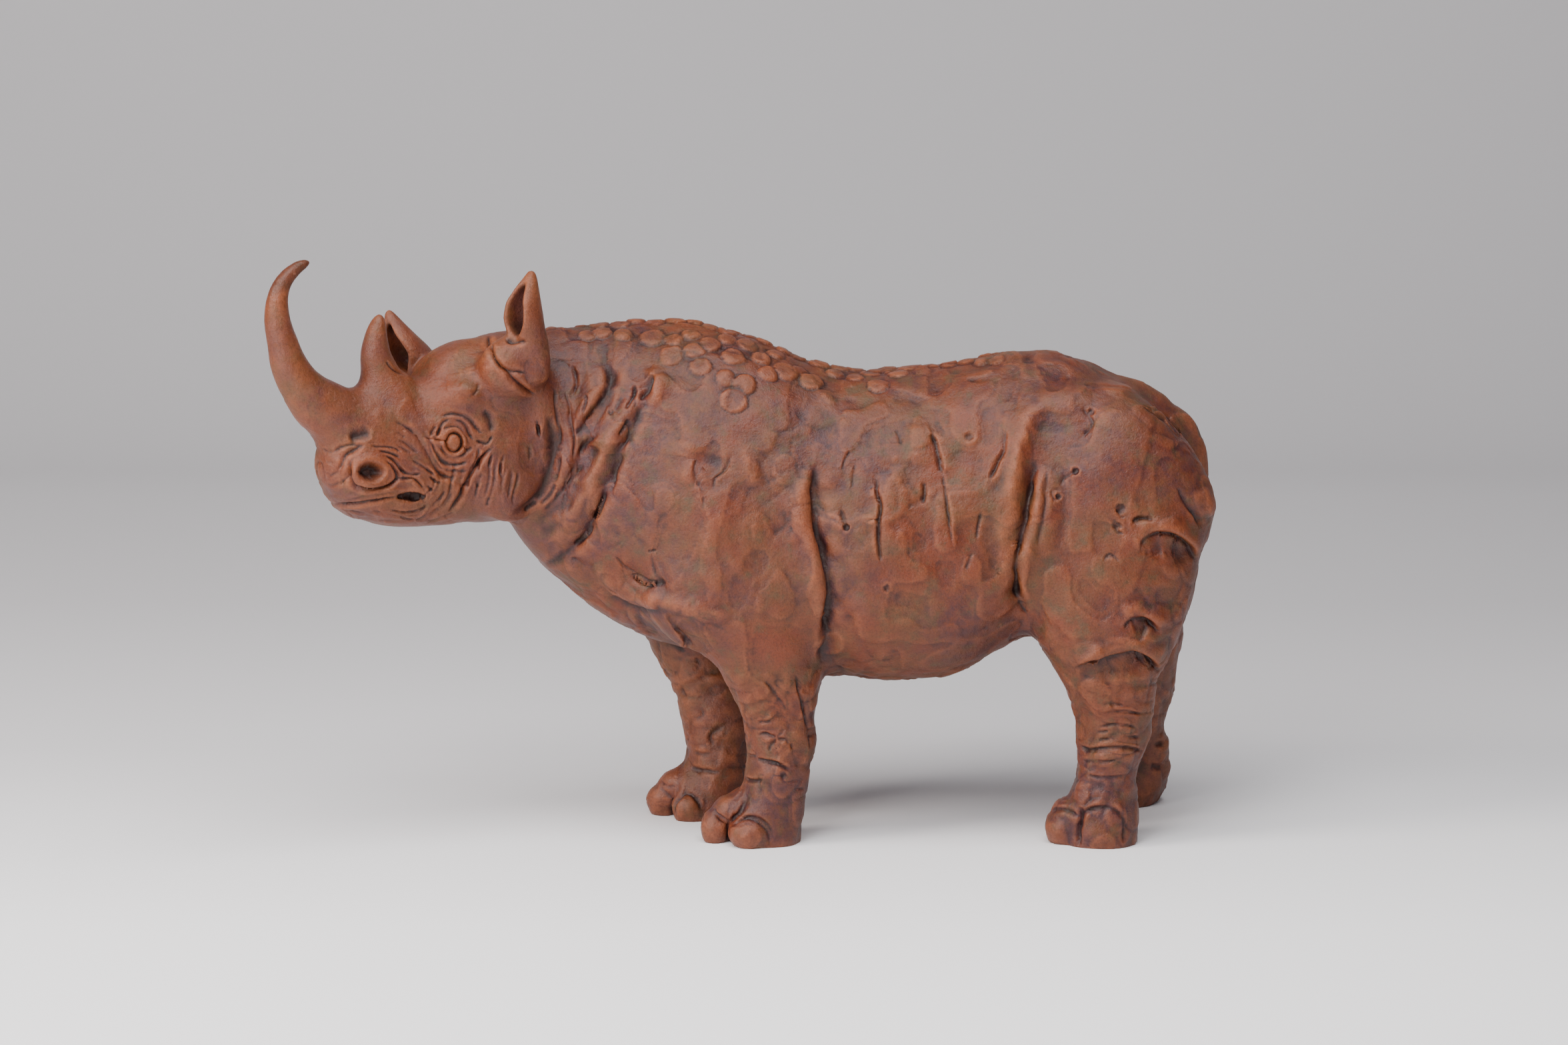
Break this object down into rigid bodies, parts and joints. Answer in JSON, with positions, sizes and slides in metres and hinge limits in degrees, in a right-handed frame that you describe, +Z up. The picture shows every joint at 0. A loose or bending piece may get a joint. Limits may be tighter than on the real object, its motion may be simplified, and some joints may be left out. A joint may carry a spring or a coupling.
{
  "type": "terracotta rhinoceros figure",
  "caption": "Standing rhinoceros modelled in terracotta, head turned to its left, resting on four flat feet; a shelf or table ornament.",
  "frame": {"origin": "centre of the figure's bounding box in plan, at the level of the soles", "axes": "+X from the front horn to the rump, +Y to the figure's right, +Z up"},
  "size_m": [0.5782, 0.202, 0.3681],
  "materials": {
    "terracotta": "unglazed, lightly burnished, dark stain rubbed into the folds"
  },
  "bodies": {
    "root": {"terracotta_rhinoceros": "terracotta"}
  },
  "joints": []
}
